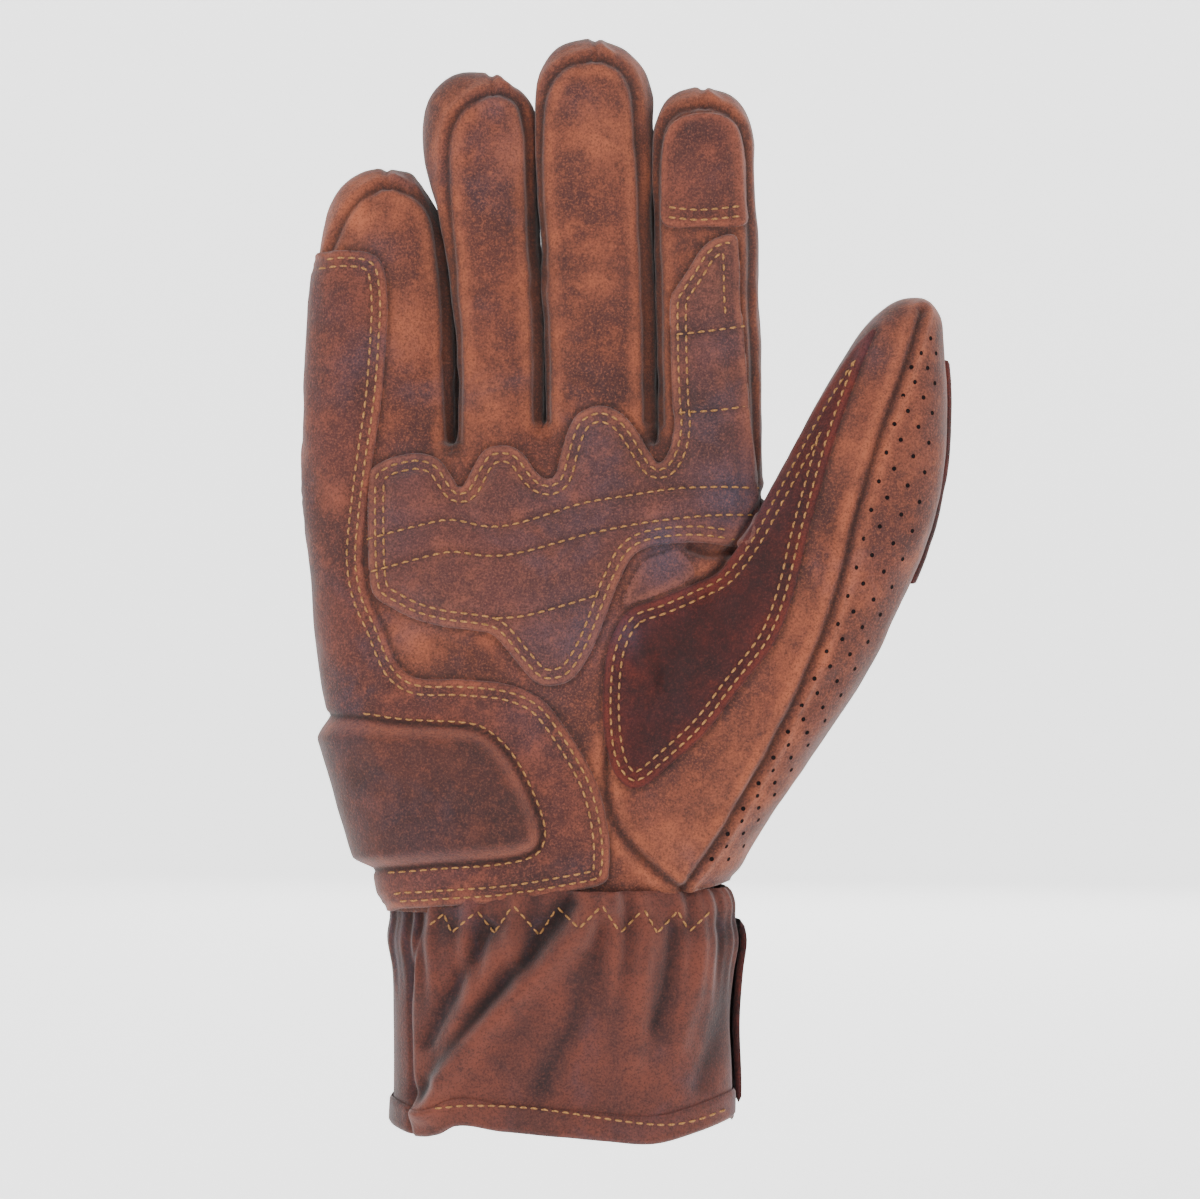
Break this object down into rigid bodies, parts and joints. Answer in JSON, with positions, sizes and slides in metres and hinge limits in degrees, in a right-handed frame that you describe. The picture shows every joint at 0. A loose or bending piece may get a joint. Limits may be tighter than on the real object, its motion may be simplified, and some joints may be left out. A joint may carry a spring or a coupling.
{
  "type": "leather glove",
  "caption": "Right-hand leather riding glove with a short gathered cuff, a quilted grip patch, a padded heel, a perforated thumb and a closure flap.",
  "frame": {"origin": "middle of the hand opening, in the plane of the cuff's hem", "axes": "+Z from the hem to the fingertips, -Y out of the palm, +X to the thumb side"},
  "size_m": [0.1497, 0.0565, 0.2539],
  "materials": {
    "main_leather": "waxed suede, mottled",
    "tan_leather": "waxed suede, worn",
    "overlay_leather": "waxed suede, mottled",
    "thumb_patch_leather": "smooth, dark",
    "binding_leather": "waxed suede",
    "elastic": "woven",
    "foam": "matte foam",
    "hook_loop_tape": "hook and loop"
  },
  "bodies": {
    "palm": {"back_panel": "main_leather", "cuff_back": "tan_leather", "cuff_front": "tan_leather", "grip_patch": "overlay_leather", "heel_pad_foam": "foam", "hem_back": "binding_leather", "hem_front": "binding_leather", "index_edge_wall": "main_leather", "little_edge_wall": "main_leather", "loop_tape": "hook_loop_tape", "outer_edge_overlay": "overlay_leather", "palm_panel": "main_leather", "thumb_patch_palm": "thumb_patch_leather", "wrist_elastic": "elastic"},
    "closure_flap": {"closure_flap": "binding_leather", "hook_tape": "hook_loop_tape"},
    "index_base": {"index_base_back": "main_leather", "index_base_front": "main_leather", "index_base_left": "main_leather", "index_base_right": "main_leather", "index_grip_lower": "overlay_leather"},
    "index_tip": {"index_grip_upper": "overlay_leather", "index_tip_back": "main_leather", "index_tip_front": "main_leather", "index_tip_left": "main_leather", "index_tip_patch": "thumb_patch_leather", "index_tip_right": "main_leather"},
    "little_base": {"little_base_back": "main_leather", "little_base_front": "main_leather", "little_base_right": "main_leather", "little_edge_lower": "overlay_leather"},
    "little_tip": {"little_edge_upper": "overlay_leather", "little_tip_back": "main_leather", "little_tip_front": "main_leather", "little_tip_right": "main_leather"},
    "middle_base": {"middle_base_back": "main_leather", "middle_base_front": "main_leather", "middle_base_left": "main_leather", "middle_base_right": "main_leather"},
    "middle_tip": {"middle_tip_back": "main_leather", "middle_tip_front": "main_leather", "middle_tip_left": "main_leather", "middle_tip_right": "main_leather"},
    "ring_base": {"ring_base_back": "main_leather", "ring_base_front": "main_leather", "ring_base_left": "main_leather", "ring_base_right": "main_leather"},
    "ring_tip": {"ring_tip_back": "main_leather", "ring_tip_front": "main_leather", "ring_tip_left": "main_leather", "ring_tip_right": "main_leather"},
    "thumb_base": {"thumb_base_back_panel": "main_leather", "thumb_base_patch": "thumb_patch_leather", "thumb_base_perforated_panel": "tan_leather", "thumb_base_side_panel": "tan_leather"},
    "thumb_tip": {"thumb_tip_back_panel": "main_leather", "thumb_tip_patch": "thumb_patch_leather", "thumb_tip_perforated_panel": "tan_leather", "thumb_tip_side_panel": "tan_leather"}
  },
  "joints": [
    {"name": "little_knuckle", "type": "hinge", "parent": "palm", "child": "little_base", "pos_m": [-0.0436, 0, 0.166], "axis": [1, 0, 0], "range_deg": [0, 60]},
    {"name": "little_middle_joint", "type": "hinge", "parent": "little_base", "child": "little_tip", "pos_m": [-0.0436, 0, 0.191], "axis": [1, 0, 0], "range_deg": [0, 75]},
    {"name": "ring_knuckle", "type": "hinge", "parent": "palm", "child": "ring_base", "pos_m": [-0.0146, 0, 0.171], "axis": [1, 0, 0], "range_deg": [0, 60]},
    {"name": "ring_middle_joint", "type": "hinge", "parent": "ring_base", "child": "ring_tip", "pos_m": [-0.0146, 0, 0.199], "axis": [1, 0, 0], "range_deg": [0, 75]},
    {"name": "middle_knuckle", "type": "hinge", "parent": "palm", "child": "middle_base", "pos_m": [0.0082, 0, 0.173], "axis": [1, 0, 0], "range_deg": [0, 60]},
    {"name": "middle_middle_joint", "type": "hinge", "parent": "middle_base", "child": "middle_tip", "pos_m": [0.0082, 0, 0.203], "axis": [1, 0, 0], "range_deg": [0, 75]},
    {"name": "index_knuckle", "type": "hinge", "parent": "palm", "child": "index_base", "pos_m": [0.0333, 0, 0.172], "axis": [1, 0, 0], "range_deg": [0, 60]},
    {"name": "index_middle_joint", "type": "hinge", "parent": "index_base", "child": "index_tip", "pos_m": [0.0333, 0, 0.2], "axis": [1, 0, 0], "range_deg": [0, 75]},
    {"name": "thumb_swing", "type": "hinge", "parent": "palm", "child": "thumb_base", "pos_m": [0.036, -0.008, 0.099], "axis": [-0.1322, 0, -0.9912], "range_deg": [0, 25]},
    {"name": "thumb_bend", "type": "hinge", "parent": "thumb_base", "child": "thumb_tip", "pos_m": [0.0709, 0, 0.164], "axis": [0.8891, -0.3236, -0.3236], "range_deg": [0, 35]},
    {"name": "flap_hinge", "type": "hinge", "parent": "palm", "child": "closure_flap", "pos_m": [0.0442, 0.0012, 0.031], "axis": [0, 0, -1], "range_deg": [0, 110]}
  ]
}
